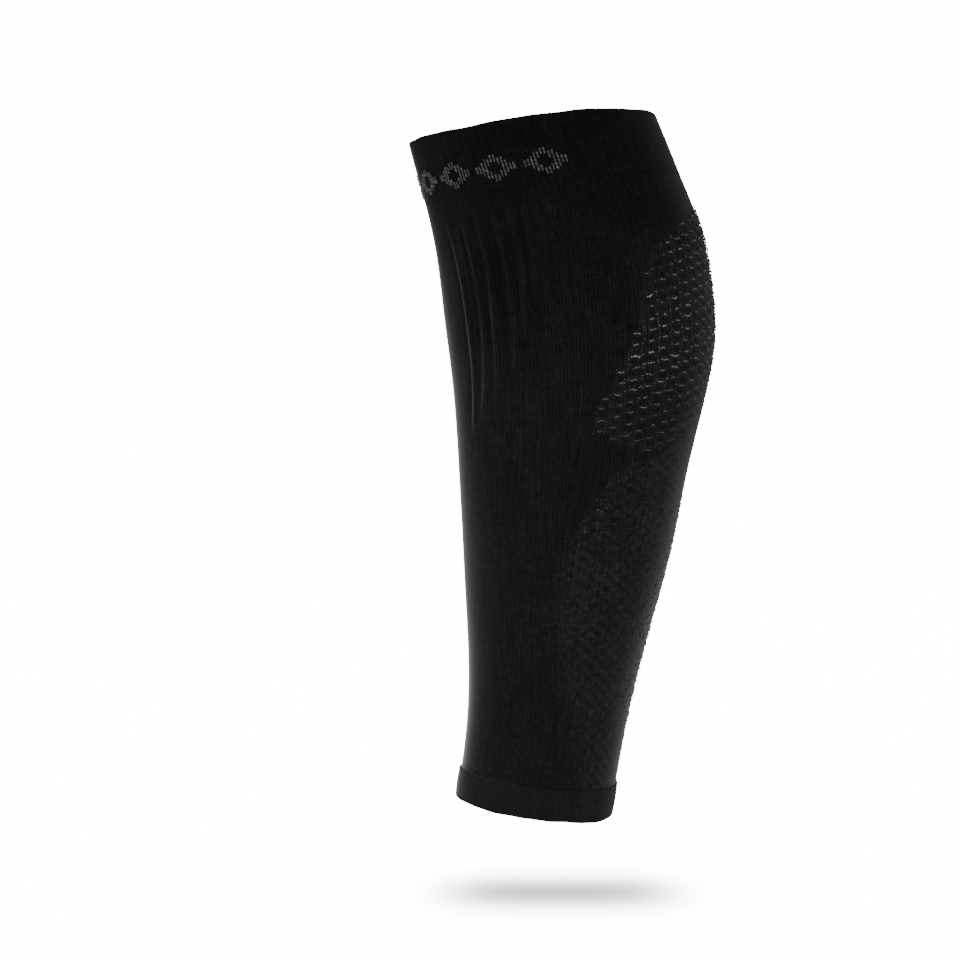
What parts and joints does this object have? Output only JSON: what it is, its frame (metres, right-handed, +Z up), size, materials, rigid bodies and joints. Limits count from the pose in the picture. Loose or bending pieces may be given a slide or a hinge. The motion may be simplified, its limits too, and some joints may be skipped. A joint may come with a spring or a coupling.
{
  "type": "calf compression sleeve",
  "caption": "Knitted calf compression sleeve in its worn form: an open tapering tube with raised shin ribs, a turned knee band and a turned ankle hem.",
  "frame": {"origin": "middle of the ankle opening", "axes": "+Z up the leg, -Y towards the shin, +Y towards the calf muscle, X from flank to flank"},
  "size_m": [0.1162, 0.1412, 0.3258],
  "materials": {
    "tube_knit": "fine black stretch knit with raised ribs and an openwork calf",
    "band_knit": "dense black double knit with fine upright wales",
    "hem_knit": "dense black double knit with a faint green cast",
    "grey_yarn": "matt grey yarn of the small knitted ticks on the knee band"
  },
  "bodies": {
    "root": {"leg_tube": "tube_knit", "knee_band": "band_knit", "ankle_hem": "hem_knit"}
  },
  "joints": []
}
